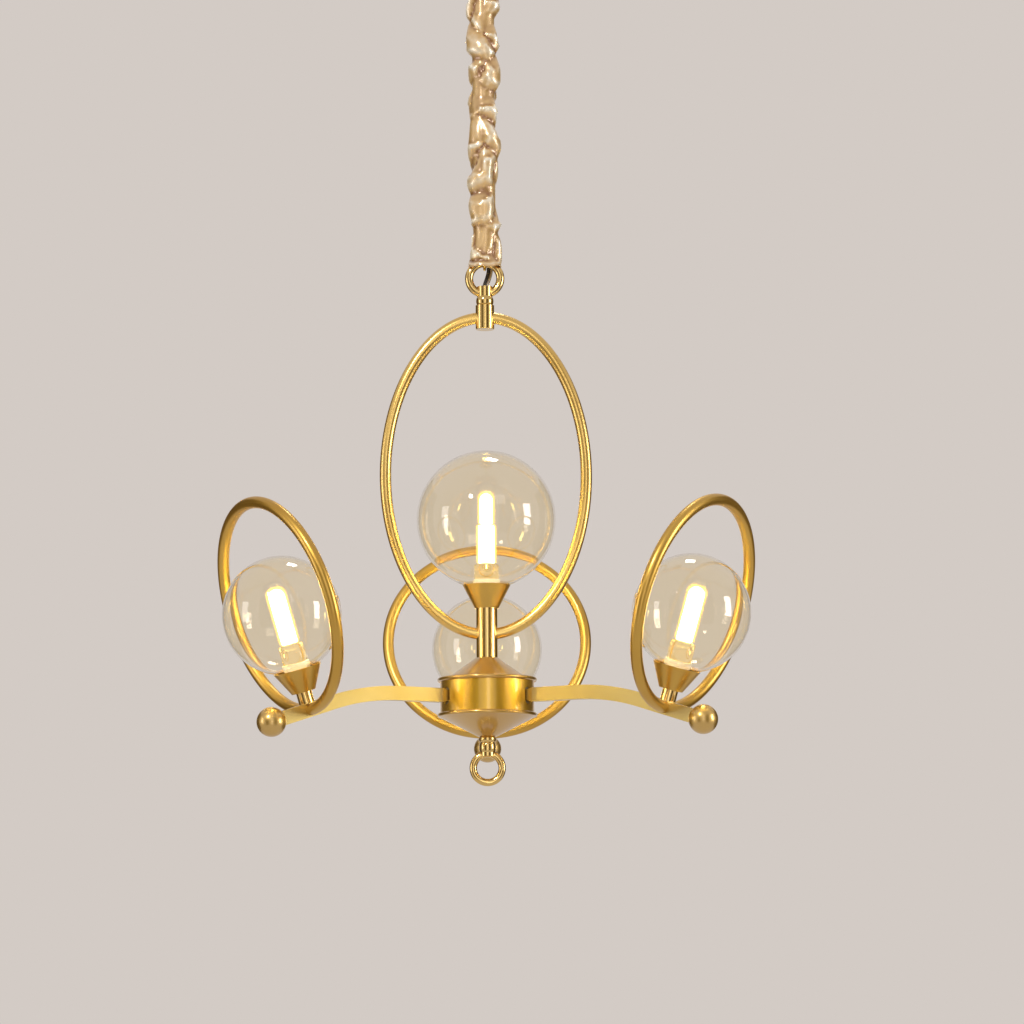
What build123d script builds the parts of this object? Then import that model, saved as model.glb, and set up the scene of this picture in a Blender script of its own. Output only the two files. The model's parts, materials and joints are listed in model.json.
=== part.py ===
from build123d import *
import math
import os

os.makedirs("parts", exist_ok=True)

# A four-light chandelier of gold-finished tube and clear glass globes.
# It hangs on a chain with a gathered satin sleeve, from a canopy on the ceiling.
# Millimetres, +Z up. The origin is the middle of the canopy's ceiling face.

# General fits
running_gap = 0.3
slip_gap = 0.15

# Canopy on the ceiling
canopy_radius = 60.0
canopy_depth = 26.0
canopy_wall = 1.2
canopy_edge_radius = 5.0
bar_length = 100.0
bar_width = 18.0
bar_thickness = 2.0
ceiling_hole_spacing = 60.0
ceiling_hole_radius = 2.6
canopy_screw_spacing = 84.0
canopy_screw_radius = 2.0
canopy_screw_spare = 4.0
screw_collar_radius = 3.6
screw_collar_height = 2.5
cap_nut_radius = 5.0
cap_nut_height = 8.0
terminal_length = 24.0
terminal_width = 14.0
terminal_height = 9.0
terminal_chamfer = 1.0

# Cast loops: the same one under the canopy and on the coupling, a smaller one under the hub
loop_ring_radius = 13.6
loop_wire_radius = 3.6
loop_ring_rise = 24.1
loop_bead_radius = 7.7
loop_bead_height = 8.0
loop_neck_radius = 6.6
loop_neck_rise = 16.8
loop_bore_radius = 3.3
stub_radius = 5.0
stub_length = 9.0
end_ring_radius = 12.4
end_wire_radius = 3.2
end_ring_rise = 27.2
end_collar_radius = 7.6
end_collar_height = 5.2
end_bead_radius = 7.2
end_bead_height = 8.6
end_neck_radius = 6.4
end_neck_rise = 17.0
nut_across_flats = 14.0
nut_thickness = 4.0

# Chain of oval links
link_count = 7
link_inner_length = 36.0
link_inner_width = 10.0
link_wire_radius = 1.4

# Gathered satin sleeve over the chain
sleeve_bore_radius = 9.6
sleeve_waist_radius = 11.4
sleeve_bulge_radius = 13.8
sleeve_mouth_radius = 15.4
sleeve_mouth_wall = 1.3
sleeve_mouth_depth = 9.0
sleeve_overlap = 6.5
sleeve_folds = 6
sleeve_fold_depth = 0.9
sleeve_fold_turn = 14.0
sleeve_sway = 0.5
sleeve_wander = 1.7

# Flat twin supply cable, laced beside the chain
core_radius = 1.4
core_pitch = 2.6
cable_side_x = 4.5
cable_side_y = 5.35
cable_neck_margin = 0.8
cable_side_drop = 13.5
cable_bend_radius = 10.0

# Coupling, oval ring and centre stem
coupling_radius = 8.2
coupling_height = 21.0
coupling_floor = 2.5
coupling_chamfer = 0.5
tube_radius = 5.0
tube_wall = 1.0
oval_half_width = 87.0
oval_half_height = 138.6
oval_crossing = 20.5
stem_radius = 9.25
stem_wall = 1.25
stem_length = 43.0
stem_foot_plug = 12.0
stem_head_plug = 6.0

# Hub
hub_rim_radius = 42.9
hub_rim_bulge = 2.1
hub_top_rim = 3.5
hub_bottom_rim = 3.7
hub_cone_height = 17.1
hub_cone_radius = 35.0
hub_cone_step = 1.0
hub_cone_top_radius = 10.0
hub_tip_height = 16.5
hub_tip_radius = 8.4
hub_cover_wall = 2.2
drum_radius = 40.3
drum_wall = 1.5
drum_height = 26.7
hub_frame_wall = 2.0
rod_bore_radius = 3.4
rod_grip = 9.0
rod_window_radius = 2.6
rod_window_rise = 8.0
connector_radius = 3.4
connector_length = 12.0
connector_start = 8.0
connector_grip = 5.0

# Arms
arm_height = 12.0
arm_width = 8.0
arm_wall = 1.2
arm_root_height = 9.6
arm_root_width = 6.4
arm_root_length = 3.4
arm_taper_length = 4.0
arm_level_reach = 88.2
arm_bend_radius = 200.0
arm_droop = 18.0
lamp_reach = 172.5
slot_height = 15.0
slot_width = 10.0
nipple_radius = 4.5
nipple_bore = 2.6
nipple_length = 10.0
arm_plug_length = 7.5
ball_radius = 12.5
ball_reach = 36.9
ball_stud_radius = 2.5
ball_stud_length = 6.0
side_ring_radius = 90.0

# Lamps, with heights measured up the lamp's own axis from the arm's middle line
side_stem_radius = 6.7
side_stem_bore = 1.8
side_stem_peg_radius = 2.9
side_stem_peg_length = 2.0
cup_foot_height = 15.8
cup_height = 20.0
cup_foot_radius = 10.2
cup_top_radius = 20.5
cup_wall = 1.35
cup_floor = 2.0
spigot_radius = 4.0
spigot_bore = 2.8
spigot_length = 8.0
socket_radius = 11.6
socket_foot_radius = 8.5
socket_foot_height = 4.8
socket_rise = 5.0
bulb_base_radius = 10.6
bulb_radius = 9.0
bulb_pin_radius = 0.6
bulb_pin_spacing = 9.0
bulb_pin_length = 7.0
bulb_groove_width = 1.0
bulb_groove_radius = 6.8
centre_bulb_start = 19.0
centre_bulb_body = 33.0
centre_bulb_tip = 28.0
centre_bulb_tip_radius = 7.6
side_bulb_start = 22.0
side_bulb_body = 47.0
globe_wall = 1.6
globe_neck_length = 4.5
centre_globe_radius = 60.0
side_globe_radius = 50.0

# Wires inside the tubes
wire_radius = 1.2
wire_bend_radius = 3.0
wire_start = connector_start + connector_length - connector_grip

arm_directions = {"left": 210.0, "right": 330.0, "back": 90.0}

# Levels worked out from the ceiling down
loop_hole_radius = loop_ring_radius - loop_wire_radius
canopy_ring_z = -canopy_depth - loop_ring_rise
link_pitch = link_inner_length - running_gap
first_link_z = canopy_ring_z - loop_hole_radius + running_gap - link_inner_length / 2
last_link_z = first_link_z - (link_count - 1) * link_pitch
top_ring_z = last_link_z - link_inner_length / 2 + running_gap - loop_hole_radius
coupling_top_z = top_ring_z - loop_ring_rise
oval_top_z = coupling_top_z - coupling_height / 2
oval_z = oval_top_z - oval_half_height
oval_bottom_z = oval_z - oval_half_height
stem_bottom_z = oval_bottom_z - oval_crossing
stem_top_z = stem_bottom_z + stem_length
rim_top_z = stem_bottom_z - hub_cone_height
drum_top_z = rim_top_z - hub_top_rim
drum_bottom_z = drum_top_z - drum_height
rim_bottom_z = drum_bottom_z - hub_bottom_rim
tip_z = rim_bottom_z - hub_tip_height
arm_z = (drum_top_z + drum_bottom_z) / 2

# Heights up a lamp's own axis
arm_top_height = arm_height / 2
cup_top_height = cup_foot_height + cup_height
cup_floor_height = cup_foot_height + cup_floor
spigot_height = cup_foot_height + spigot_length
socket_top_height = cup_top_height + socket_rise
tube_bore = tube_radius - tube_wall
rod_hole_radius = stub_radius + slip_gap

X_DIR = Vector(1, 0, 0)
Y_DIR = Vector(0, 1, 0)
UP = Vector(0, 0, 1)
DOWN = Vector(0, 0, -1)


def save(piece, name):
    """Write one finished piece under its own name."""
    piece.label = name
    export_step(piece, f"parts/{name}.step")


def axis_plane(foot, across, up):
    """A plane whose X runs across and whose Y runs up an axis from its foot."""
    return Plane(origin=foot, x_dir=across, z_dir=across.cross(up))


def level_plane(plane, height):
    """A plane square to an axis plane's Y axis, at a height along it."""
    middle = plane.origin + plane.y_dir * height
    return Plane(origin=middle, x_dir=plane.x_dir, z_dir=plane.y_dir)


def turned(plane, corners):
    """A solid turned about the plane's Y axis, from corners given as radius and height."""
    with BuildPart() as piece:
        with BuildSketch(plane):
            with BuildLine():
                Polyline(*corners, close=True)
            make_face()
        revolve(axis=Axis(plane.origin, plane.y_dir))
    return piece.part


def round_bar(path, radius, bore=0.0):
    """A round bar, or a tube with a bore, along a path."""
    with BuildPart() as piece:
        with BuildSketch(Plane(origin=path @ 0, z_dir=path % 0)):
            Circle(radius)
            if bore > 0:
                Circle(bore, mode=Mode.SUBTRACT)
        sweep(path=path)
    return piece.part


def group(pieces):
    """Separate solids kept together as one piece."""
    with BuildPart() as bundle:
        for piece in pieces:
            add(piece)
    return bundle.part


def hex_nut(plane, bore):
    """A plain hexagon nut standing on a plane."""
    with BuildPart() as nut:
        with BuildSketch(plane):
            RegularPolygon(nut_across_flats / 2, 6, major_radius=False)
            Circle(bore, mode=Mode.SUBTRACT)
        extrude(amount=nut_thickness)
    return nut.part


def cast_loop(plane, beads, neck_radius, neck_rise, ring_rise, ring_radius, ring_wire):
    """A neck with turned beads and a ring on its end, in one casting."""
    ring_middle = plane.origin + plane.y_dir * ring_rise
    with BuildPart() as casting:
        with BuildSketch(plane):
            with BuildLine():
                height = 0.0
                for bead_radius, bead_height in beads:
                    ThreePointArc(
                        (neck_radius, height),
                        (bead_radius, height + bead_height / 2),
                        (neck_radius, height + bead_height),
                    )
                    height += bead_height
                Polyline(
                    (neck_radius, height),
                    (neck_radius, neck_rise),
                    (0, neck_rise),
                    (0, 0),
                    (neck_radius, 0),
                )
            make_face()
        revolve(axis=Axis(plane.origin, plane.y_dir))
        with Locations(Location(ring_middle, (90, 0, 0))):
            Torus(ring_radius, ring_wire)
    return casting.part


def hanging_loop(plane):
    """The larger loop, with a threaded stub behind its shoulder and a bore for the cable."""
    casting = cast_loop(
        plane,
        [(loop_bead_radius, loop_bead_height)],
        loop_neck_radius,
        loop_neck_rise,
        loop_ring_rise,
        loop_ring_radius,
        loop_wire_radius,
    )
    with BuildPart() as loop:
        add(casting)
        with BuildSketch(level_plane(plane, 0)):
            Circle(stub_radius)
        extrude(amount=-stub_length)
        with BuildSketch(level_plane(plane, -stub_length)):
            Circle(loop_bore_radius)
        extrude(amount=stub_length + loop_neck_rise + running_gap, mode=Mode.SUBTRACT)
    return loop.part


# Canopy cup, open towards the ceiling
canopy_side = Plane(origin=(0, 0, 0), x_dir=X_DIR, z_dir=-Y_DIR)
with BuildPart() as canopy_cup:
    with BuildSketch(canopy_side):
        with BuildLine():
            Polyline(
                (rod_hole_radius, -canopy_depth),
                (canopy_radius, -canopy_depth),
                (canopy_radius, 0),
                (canopy_radius - canopy_wall, 0),
                (canopy_radius - canopy_wall, canopy_wall - canopy_depth),
                (rod_hole_radius, canopy_wall - canopy_depth),
                close=True,
            )
        make_face()
        outer_corner = vertices().sort_by_distance((canopy_radius, -canopy_depth))[0]
        fillet(outer_corner, canopy_edge_radius)
        inner_corner = vertices().sort_by_distance(
            (canopy_radius - canopy_wall, canopy_wall - canopy_depth)
        )[0]
        fillet(inner_corner, canopy_edge_radius - canopy_wall)
    revolve(axis=Axis.Z)
    with BuildSketch(Plane.XY.offset(-canopy_depth)):
        with GridLocations(canopy_screw_spacing, 1, 2, 1):
            Circle(canopy_screw_radius + slip_gap)
    extrude(amount=canopy_wall, mode=Mode.SUBTRACT)
save(canopy_cup.part, "canopy_cup")

# Mounting bar screwed to the ceiling
with BuildPart() as mounting_bar:
    with BuildSketch(Plane.XY.offset(-bar_thickness)):
        Rectangle(bar_length, bar_width)
        with GridLocations(ceiling_hole_spacing, 1, 2, 1):
            Circle(ceiling_hole_radius, mode=Mode.SUBTRACT)
        with GridLocations(canopy_screw_spacing, 1, 2, 1):
            Circle(canopy_screw_radius + slip_gap, mode=Mode.SUBTRACT)
    extrude(amount=bar_thickness)
save(mounting_bar.part, "mounting_bar")

# Two screws that hang from the bar and carry the canopy
with BuildPart() as canopy_screws:
    with BuildSketch(Plane.XY):
        with GridLocations(canopy_screw_spacing, 1, 2, 1):
            Circle(canopy_screw_radius)
    extrude(amount=-canopy_depth - canopy_screw_spare)
    with BuildSketch(Plane.XY.offset(-bar_thickness)):
        with GridLocations(canopy_screw_spacing, 1, 2, 1):
            Circle(screw_collar_radius)
    extrude(amount=-screw_collar_height)
save(canopy_screws.part, "canopy_screws")

# Ball nuts under the canopy
with BuildPart() as canopy_cap_nuts:
    with Locations(Plane.XY.offset(cap_nut_radius - canopy_depth - cap_nut_height)):
        with GridLocations(canopy_screw_spacing, 1, 2, 1):
            Sphere(cap_nut_radius)
    split(bisect_by=Plane.XY.offset(-canopy_depth), keep=Keep.BOTTOM)
    with BuildSketch(Plane.XY.offset(-canopy_depth)):
        with GridLocations(canopy_screw_spacing, 1, 2, 1):
            Circle(canopy_screw_radius + slip_gap)
    extrude(amount=-canopy_screw_spare - slip_gap, mode=Mode.SUBTRACT)
save(canopy_cap_nuts.part, "canopy_cap_nuts")

# Loop under the canopy, with the nut that holds it inside
canopy_loop_plane = axis_plane(Vector(0, 0, -canopy_depth), X_DIR, DOWN)
save(hanging_loop(canopy_loop_plane), "canopy_loop")
save(hex_nut(Plane.XY.offset(canopy_wall - canopy_depth), rod_hole_radius), "canopy_loop_nut")

# Terminal block under the bar
with BuildPart() as terminal_block:
    with BuildSketch(Plane.XY.offset(-bar_thickness)):
        Rectangle(terminal_length, terminal_width)
    extrude(amount=-terminal_height)
    chamfer(terminal_block.faces().sort_by(Axis.Z)[0].edges(), terminal_chamfer)
save(terminal_block.part, "terminal_block")

# Chain links, turned a quarter from one to the next
link_half_width = link_inner_width / 2 + link_wire_radius
link_straight = link_inner_length / 2 - link_inner_width / 2
for number in range(link_count):
    link_z = first_link_z - number * link_pitch
    across = Y_DIR if number % 2 == 0 else X_DIR
    link_plane = axis_plane(Vector(0, 0, link_z), across, UP)
    with BuildPart() as chain_link:
        with BuildLine(link_plane) as link_path:
            Line((link_half_width, -link_straight), (link_half_width, link_straight))
            ThreePointArc(
                (link_half_width, link_straight),
                (0, link_straight + link_half_width),
                (-link_half_width, link_straight),
            )
            Line((-link_half_width, link_straight), (-link_half_width, -link_straight))
            ThreePointArc(
                (-link_half_width, -link_straight),
                (0, -link_straight - link_half_width),
                (link_half_width, -link_straight),
            )
        with BuildSketch(Plane(origin=link_path.line @ 0, z_dir=link_path.line % 0)):
            Circle(link_wire_radius)
        sweep(path=link_path.line)
    save(chain_link.part, f"chain_link_{number + 1}")

# Gathered sleeve: a puff for each link, with folds that wander round it
sleeve_top_z = canopy_ring_z - loop_ring_radius - loop_wire_radius + sleeve_overlap
sleeve_bottom_z = top_ring_z + loop_ring_radius + loop_wire_radius - sleeve_overlap
sleeve_length = sleeve_top_z - sleeve_bottom_z
sleeve_steps = 2 * link_count


def sleeve_radius(step):
    """The cloth's outer radius at one of the sleeve's sections."""
    if step in (0, sleeve_steps):
        return sleeve_mouth_radius
    return sleeve_bulge_radius if step % 2 else sleeve_waist_radius


def fold_point(step, radius, angle):
    """A point on the cloth's edge line at one section, with the section's own turn and sway."""
    sway = 0 if step in (0, sleeve_steps) else sleeve_sway
    turn = sleeve_fold_turn * math.sin(sleeve_wander * step)
    middle = Vector(sway, 0).rotate(Axis.Z, math.degrees(sleeve_wander * step))
    return middle + Vector(radius, 0).rotate(Axis.Z, angle + turn)


fold_angle = 360 / sleeve_folds
with BuildPart() as chain_sleeve:
    for puff in range(link_count):
        for step in range(2 * puff, 2 * puff + 3):
            crest = sleeve_radius(step) + sleeve_fold_depth / 2
            valley = sleeve_radius(step) - sleeve_fold_depth / 2
            with BuildSketch(Plane.XY.offset(sleeve_top_z - sleeve_length * step / sleeve_steps)):
                with BuildLine():
                    for fold in range(sleeve_folds):
                        ThreePointArc(
                            fold_point(step, valley, fold * fold_angle),
                            fold_point(step, crest, (fold + 0.5) * fold_angle),
                            fold_point(step, valley, (fold + 1) * fold_angle),
                        )
                make_face()
        loft()
    with BuildSketch(Plane.XY.offset(sleeve_top_z)):
        Circle(sleeve_bore_radius)
    extrude(amount=-sleeve_length, mode=Mode.SUBTRACT)
    mouth_radius = sleeve_mouth_radius - sleeve_mouth_wall
    for mouth_z, inward in ((sleeve_top_z, DOWN), (sleeve_bottom_z, UP)):
        mouth_plane = axis_plane(Vector(0, 0, mouth_z), X_DIR, inward)
        with BuildSketch(mouth_plane):
            with BuildLine():
                Polyline(
                    (0, 0),
                    (mouth_radius, 0),
                    (sleeve_bore_radius, sleeve_mouth_depth),
                    (0, sleeve_mouth_depth),
                    close=True,
                )
            make_face()
        revolve(axis=Axis(mouth_plane.origin, inward), mode=Mode.SUBTRACT)
save(chain_sleeve.part, "chain_sleeve")

# Supply cable: down the canopy loop's bore, beside the chain and into the coupling
canopy_neck_z = -canopy_depth - loop_neck_rise
top_neck_z = coupling_top_z + loop_neck_rise
cable_points = [
    (0, 0, -bar_thickness - terminal_height),
    (0, 0, canopy_neck_z + cable_neck_margin),
    (cable_side_x, cable_side_y, canopy_neck_z + cable_neck_margin - cable_side_drop),
    (cable_side_x, cable_side_y, top_neck_z - cable_neck_margin + cable_side_drop),
    (0, 0, top_neck_z - cable_neck_margin),
    (0, 0, oval_top_z + wire_radius),
]
with BuildPart() as supply_cable:
    with BuildLine() as cable_path:
        FilletPolyline(*cable_points, radius=cable_bend_radius)
    with BuildSketch(Plane(origin=cable_path.line @ 0, x_dir=X_DIR, z_dir=cable_path.line % 0)):
        with GridLocations(core_pitch, 1, 2, 1):
            Circle(core_radius)
    sweep(path=cable_path.line)
save(supply_cable.part, "supply_cable")

# Loop on top of the fixture, and the coupling that it screws into
top_loop_plane = axis_plane(Vector(0, 0, coupling_top_z), X_DIR, UP)
save(hanging_loop(top_loop_plane), "top_loop")

with BuildPart() as top_coupling:
    with BuildSketch(Plane.XY.offset(coupling_top_z)):
        Circle(coupling_radius)
    extrude(amount=-coupling_height)
    chamfer(top_coupling.edges().filter_by(GeomType.CIRCLE).group_by(Axis.Z)[0], coupling_chamfer)
    with BuildSketch(Plane.XY.offset(coupling_top_z)):
        Circle(rod_hole_radius)
    extrude(amount=coupling_floor - coupling_height, mode=Mode.SUBTRACT)
    with BuildSketch(Plane.YZ):
        with Locations((0, oval_top_z)):
            Circle(tube_bore)
    extrude(amount=coupling_radius, both=True, mode=Mode.SUBTRACT)
save(top_coupling.part, "top_coupling")

# Oval ring: a left and a right half, each from the coupling to the stem
for side, first_angle in (("left", 90), ("right", -90)):
    with BuildLine(Plane.XZ) as half_oval:
        EllipticalCenterArc((0, oval_z), oval_half_width, oval_half_height, first_angle, arc_size=180)
    bent_tube = round_bar(half_oval.line, tube_radius, tube_bore)
    with BuildPart() as oval_half:
        add(bent_tube)
        for end_z, end_radius in ((oval_top_z, coupling_radius), (oval_bottom_z, stem_radius)):
            with BuildSketch(Plane.XY.offset(end_z)):
                Circle(end_radius)
            extrude(amount=2 * tube_radius, both=True, mode=Mode.SUBTRACT)
    save(oval_half.part, f"oval_{side}")

# Centre stem, with a threaded foot, two side holes for the oval and a spigot for the lamp
centre_foot = Vector(0, 0, stem_top_z - cup_foot_height)
centre_plane = axis_plane(centre_foot, X_DIR, UP)
with BuildPart() as centre_stem:
    with BuildSketch(Plane.XY.offset(stem_bottom_z)):
        Circle(stem_radius)
    extrude(amount=stem_length)
    with BuildSketch(Plane.XY.offset(stem_top_z)):
        Circle(spigot_radius)
    extrude(amount=spigot_length)
    with BuildSketch(Plane.XY.offset(stem_bottom_z)):
        Circle(rod_hole_radius)
    extrude(amount=stem_foot_plug, mode=Mode.SUBTRACT)
    with BuildSketch(Plane.XY.offset(stem_bottom_z + stem_foot_plug)):
        Circle(stem_radius - stem_wall)
    extrude(amount=stem_length - stem_foot_plug - stem_head_plug, mode=Mode.SUBTRACT)
    with BuildSketch(Plane.XY.offset(stem_top_z - stem_head_plug)):
        Circle(spigot_bore)
    extrude(amount=stem_head_plug + spigot_length, mode=Mode.SUBTRACT)
    with BuildSketch(Plane.YZ):
        with Locations((0, oval_bottom_z)):
            Circle(tube_bore)
    extrude(amount=stem_radius, both=True, mode=Mode.SUBTRACT)
save(centre_stem.part, "centre_stem")

# Hub: a cone over a drum over a lower cone, each cover with a rolled rim
rim_inner_radius = hub_rim_radius - hub_rim_bulge
cover_lip_radius = drum_radius - drum_wall - hub_frame_wall - running_gap
hub_axis = axis_plane(Vector(0, 0, 0), X_DIR, UP)
with BuildPart() as hub_top_cover:
    with BuildSketch(hub_axis):
        with BuildLine():
            ThreePointArc(
                (rim_inner_radius, rim_top_z),
                (hub_rim_radius, (rim_top_z + drum_top_z) / 2),
                (rim_inner_radius, drum_top_z),
            )
            Polyline(
                (rim_inner_radius, drum_top_z),
                (cover_lip_radius, drum_top_z),
                (hub_cone_radius - hub_cover_wall, drum_top_z + hub_cone_step),
                (hub_cone_top_radius - slip_gap, stem_bottom_z - hub_cover_wall),
                (rod_hole_radius, stem_bottom_z - hub_cover_wall),
                (rod_hole_radius, stem_bottom_z),
                (hub_cone_top_radius, stem_bottom_z),
                (hub_cone_radius, rim_top_z - hub_cone_step),
                (rim_inner_radius - hub_cone_step, rim_top_z - hub_cone_step),
                (rim_inner_radius, rim_top_z),
            )
        make_face()
    revolve(axis=Axis.Z)
save(hub_top_cover.part, "hub_top_cover")

with BuildPart() as hub_bottom_cover:
    with BuildSketch(hub_axis):
        with BuildLine():
            ThreePointArc(
                (rim_inner_radius, rim_bottom_z),
                (hub_rim_radius, (rim_bottom_z + drum_bottom_z) / 2),
                (rim_inner_radius, drum_bottom_z),
            )
            Polyline(
                (rim_inner_radius, drum_bottom_z),
                (cover_lip_radius, drum_bottom_z),
                (cover_lip_radius, rim_bottom_z),
                (hub_tip_radius + hub_cone_step, tip_z + hub_cover_wall),
                (rod_hole_radius, tip_z + hub_cover_wall),
                (rod_hole_radius, tip_z),
                (hub_tip_radius, tip_z),
                (rim_inner_radius, rim_bottom_z),
            )
        make_face()
    revolve(axis=Axis.Z)
save(hub_bottom_cover.part, "hub_bottom_cover")


def arm_side(direction):
    """The upright plane of one arm: X outward from the hub's axis, Y up, at the arm's level."""
    outward = X_DIR.rotate(Axis.Z, direction)
    return axis_plane(Vector(0, 0, arm_z), outward, UP)


with BuildPart() as hub_drum:
    with BuildSketch(Plane.XY.offset(drum_bottom_z)):
        Circle(drum_radius)
        Circle(drum_radius - drum_wall, mode=Mode.SUBTRACT)
    extrude(amount=drum_height)
    for direction in arm_directions.values():
        outward = X_DIR.rotate(Axis.Z, direction)
        with BuildSketch(Plane(origin=(0, 0, arm_z), x_dir=UP, z_dir=outward)):
            SlotOverall(slot_height, slot_width)
        extrude(amount=drum_radius + drum_wall, mode=Mode.SUBTRACT)
save(hub_drum.part, "hub_drum")

# Inner frame of the hub, which carries the arms
frame_radius = drum_radius - drum_wall - running_gap
frame_inner_radius = frame_radius - hub_frame_wall
with BuildPart() as hub_frame:
    with BuildSketch(Plane.XY.offset(drum_bottom_z)):
        Circle(frame_radius)
    extrude(amount=drum_height - running_gap)
    with BuildSketch(Plane.XY.offset(drum_bottom_z + hub_frame_wall)):
        Circle(frame_inner_radius)
    extrude(amount=drum_height, mode=Mode.SUBTRACT)
    with BuildSketch(Plane.XY.offset(drum_bottom_z)):
        Circle(rod_hole_radius)
    extrude(amount=hub_frame_wall, mode=Mode.SUBTRACT)
    for direction in arm_directions.values():
        outward = X_DIR.rotate(Axis.Z, direction)
        with BuildSketch(Plane(origin=(0, 0, arm_z), x_dir=UP, z_dir=outward)):
            Circle(nipple_radius + slip_gap)
        extrude(amount=frame_radius + hub_frame_wall, mode=Mode.SUBTRACT)
save(hub_frame.part, "hub_frame")

# Threaded tube through the hub, and its two nuts
rod_bottom_z = tip_z - rod_grip
rod_top_z = stem_bottom_z + rod_grip
with BuildPart() as hub_rod:
    with BuildSketch(Plane.XY.offset(rod_bottom_z)):
        Circle(stub_radius)
        Circle(rod_bore_radius, mode=Mode.SUBTRACT)
    extrude(amount=rod_top_z - rod_bottom_z)
    with BuildSketch(Plane.YZ):
        with Locations((0, arm_z + rod_window_rise)):
            Circle(rod_window_radius)
    extrude(amount=stub_radius, both=True, mode=Mode.SUBTRACT)
save(hub_rod.part, "hub_rod")

lower_nut_plane = Plane.XY.offset(drum_bottom_z + hub_frame_wall)
upper_nut_plane = Plane.XY.offset(stem_bottom_z - hub_cover_wall - nut_thickness)
hub_nuts = group([hex_nut(lower_nut_plane, rod_hole_radius), hex_nut(upper_nut_plane, rod_hole_radius)])
save(hub_nuts, "hub_nuts")

# Loop under the hub, on the end of the threaded tube
end_loop_plane = axis_plane(Vector(0, 0, tip_z), X_DIR, DOWN)
end_casting = cast_loop(
    end_loop_plane,
    [(end_collar_radius, end_collar_height), (end_bead_radius, end_bead_height)],
    end_neck_radius,
    end_neck_rise,
    end_ring_rise,
    end_ring_radius,
    end_wire_radius,
)
with BuildPart() as bottom_loop:
    add(end_casting)
    with BuildSketch(Plane.XY.offset(tip_z)):
        Circle(rod_hole_radius)
    extrude(amount=-rod_grip - slip_gap, mode=Mode.SUBTRACT)
save(bottom_loop.part, "bottom_loop")

# Nuts on the arms' threaded nipples, and the connectors where the wires meet
nut_corner = nut_across_flats / math.sqrt(3)
arm_nut_reach = math.sqrt(frame_inner_radius**2 - nut_corner**2) - slip_gap
arm_nuts = []
for direction in arm_directions.values():
    outward = X_DIR.rotate(Axis.Z, direction)
    nut_plane = Plane(origin=outward * arm_nut_reach + UP * arm_z, x_dir=UP, z_dir=-outward)
    arm_nuts.append(hex_nut(nut_plane, nipple_radius + slip_gap))
save(group(arm_nuts), "arm_nuts")

with BuildPart() as wire_connectors:
    for direction in arm_directions.values():
        outward = X_DIR.rotate(Axis.Z, direction)
        connector_end = outward * (connector_start + connector_length) + UP * arm_z
        connector_plane = Plane(origin=connector_end, x_dir=UP, z_dir=-outward)
        with BuildSketch(connector_plane):
            Circle(connector_radius)
        extrude(amount=connector_length)
        with BuildSketch(connector_plane):
            Circle(wire_radius + slip_gap)
        extrude(amount=connector_grip + slip_gap, mode=Mode.SUBTRACT)
save(wire_connectors.part, "wire_connectors")

# Points of the arm's middle line, out from the hub's axis and up from the arm's level
droop = math.radians(arm_droop)
bend_end = (
    arm_level_reach + arm_bend_radius * math.sin(droop),
    -arm_bend_radius * (1 - math.cos(droop)),
)
bend_middle = (
    arm_level_reach + arm_bend_radius * math.sin(droop / 2),
    -arm_bend_radius * (1 - math.cos(droop / 2)),
)
along = Vector(math.cos(droop), -math.sin(droop))
lamp_up = Vector(math.sin(droop), math.cos(droop))
lamp_run = (lamp_reach - bend_end[0]) / math.cos(droop)
lamp_foot = Vector(*bend_end) + along * lamp_run
ball_flat = math.sqrt(ball_radius**2 - (arm_width**2 + arm_height**2) / 4)
arm_tip = lamp_foot + along * (ball_reach - ball_flat)
root_start = frame_radius
taper_start = root_start + arm_root_length
bar_start = taper_start + arm_taper_length


def arm_line(first, last):
    """The arm's middle line in its own plane, from a reach on its level run to a point on its slope."""
    Line((first, 0), (arm_level_reach, 0))
    ThreePointArc((arm_level_reach, 0), bend_middle, bend_end)
    Line(bend_end, (last.X, last.Y))


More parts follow.
